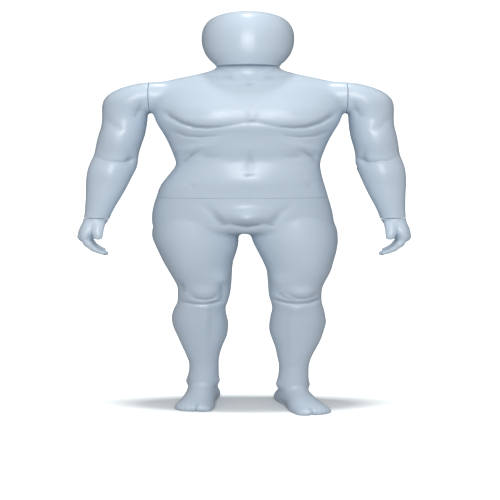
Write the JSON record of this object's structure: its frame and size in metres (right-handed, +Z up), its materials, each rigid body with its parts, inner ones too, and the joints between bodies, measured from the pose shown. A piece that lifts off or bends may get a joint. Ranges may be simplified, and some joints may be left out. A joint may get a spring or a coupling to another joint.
{
  "type": "full body mannequin",
  "caption": "Faceless male shop mannequin, standing, in hollow white shells that part at the neck, shoulders, wrists and waist.",
  "frame": {"origin": "floor level under the middle of the figure's bounding box, between the feet", "axes": "+Z up from the soles to the crown; the figure faces -Y, and its own left side is at +X"},
  "size_m": [0.6302, 0.3383, 1.8503],
  "materials": {
    "white_shell": "satin white paint over glass-fibre moulding",
    "hand_resin": "satin white paint over cast resin",
    "board": "sanded birch plywood",
    "zinc_steel": "zinc plated turned steel",
    "washer_nylon": "natural nylon"
  },
  "bodies": {
    "lower_body": {"legs_shell": "white_shell", "waist_board_hips": "board", "waist_socket": "zinc_steel", "waist_socket_screws": "zinc_steel", "spigot_socket": "zinc_steel", "spigot_heel_block": "board", "spigot_grub_screw": "zinc_steel"},
    "torso": {"torso_shell": "white_shell", "waist_board_torso": "board", "waist_peg": "zinc_steel", "waist_peg_screws": "zinc_steel", "waist_locating_pin": "zinc_steel", "neck_board": "board", "neck_peg": "zinc_steel", "neck_peg_screws": "zinc_steel", "neck_washer": "washer_nylon", "left_shoulder_board": "board", "left_shoulder_socket": "zinc_steel", "left_shoulder_socket_screws": "zinc_steel", "right_shoulder_board": "board", "right_shoulder_socket": "zinc_steel", "right_shoulder_socket_screws": "zinc_steel"},
    "head": {"head_shell": "white_shell", "head_board": "board", "head_socket": "zinc_steel", "head_socket_screws": "zinc_steel"},
    "left_arm": {"left_arm_shell": "white_shell", "left_arm_board": "board", "left_shoulder_peg": "zinc_steel", "left_shoulder_peg_screws": "zinc_steel", "left_shoulder_washer": "washer_nylon", "left_wrist_plug": "washer_nylon"},
    "left_forehand": {"left_hand": "hand_resin", "left_wrist_peg": "zinc_steel"},
    "right_arm": {"right_arm_shell": "white_shell", "right_arm_board": "board", "right_shoulder_peg": "zinc_steel", "right_shoulder_peg_screws": "zinc_steel", "right_shoulder_washer": "washer_nylon", "right_wrist_plug": "washer_nylon"},
    "right_forehand": {"right_hand": "hand_resin", "right_wrist_peg": "zinc_steel"}
  },
  "joints": [
    {"name": "torso_lift", "type": "slide", "parent": "lower_body", "child": "torso", "axis": [0, 0, 1], "range_m": [0, 0.045]},
    {"name": "head_turn", "type": "hinge", "parent": "torso", "child": "head", "pos_m": [0, 0.046, 1.604], "axis": [0, 0, 1], "range_deg": [-70, 70]},
    {"name": "left_arm_swing", "type": "hinge", "parent": "torso", "child": "left_arm", "pos_m": [0.183, 0.05, 1.467], "axis": [-1, 0, 0], "range_deg": [-35, 95]},
    {"name": "left_hand_turn", "type": "hinge", "parent": "left_arm", "child": "left_forehand", "pos_m": [0.275, 0.0155, 0.905], "axis": [0.1075, -0.0526, -0.9928], "range_deg": [-60, 60]},
    {"name": "right_arm_swing", "type": "hinge", "parent": "torso", "child": "right_arm", "pos_m": [-0.183, 0.05, 1.467], "axis": [-1, 0, 0], "range_deg": [-35, 95]},
    {"name": "right_hand_turn", "type": "hinge", "parent": "right_arm", "child": "right_forehand", "pos_m": [-0.287, 0.0155, 0.905], "axis": [-0.135, -0.0524, -0.9895], "range_deg": [-60, 60]}
  ]
}
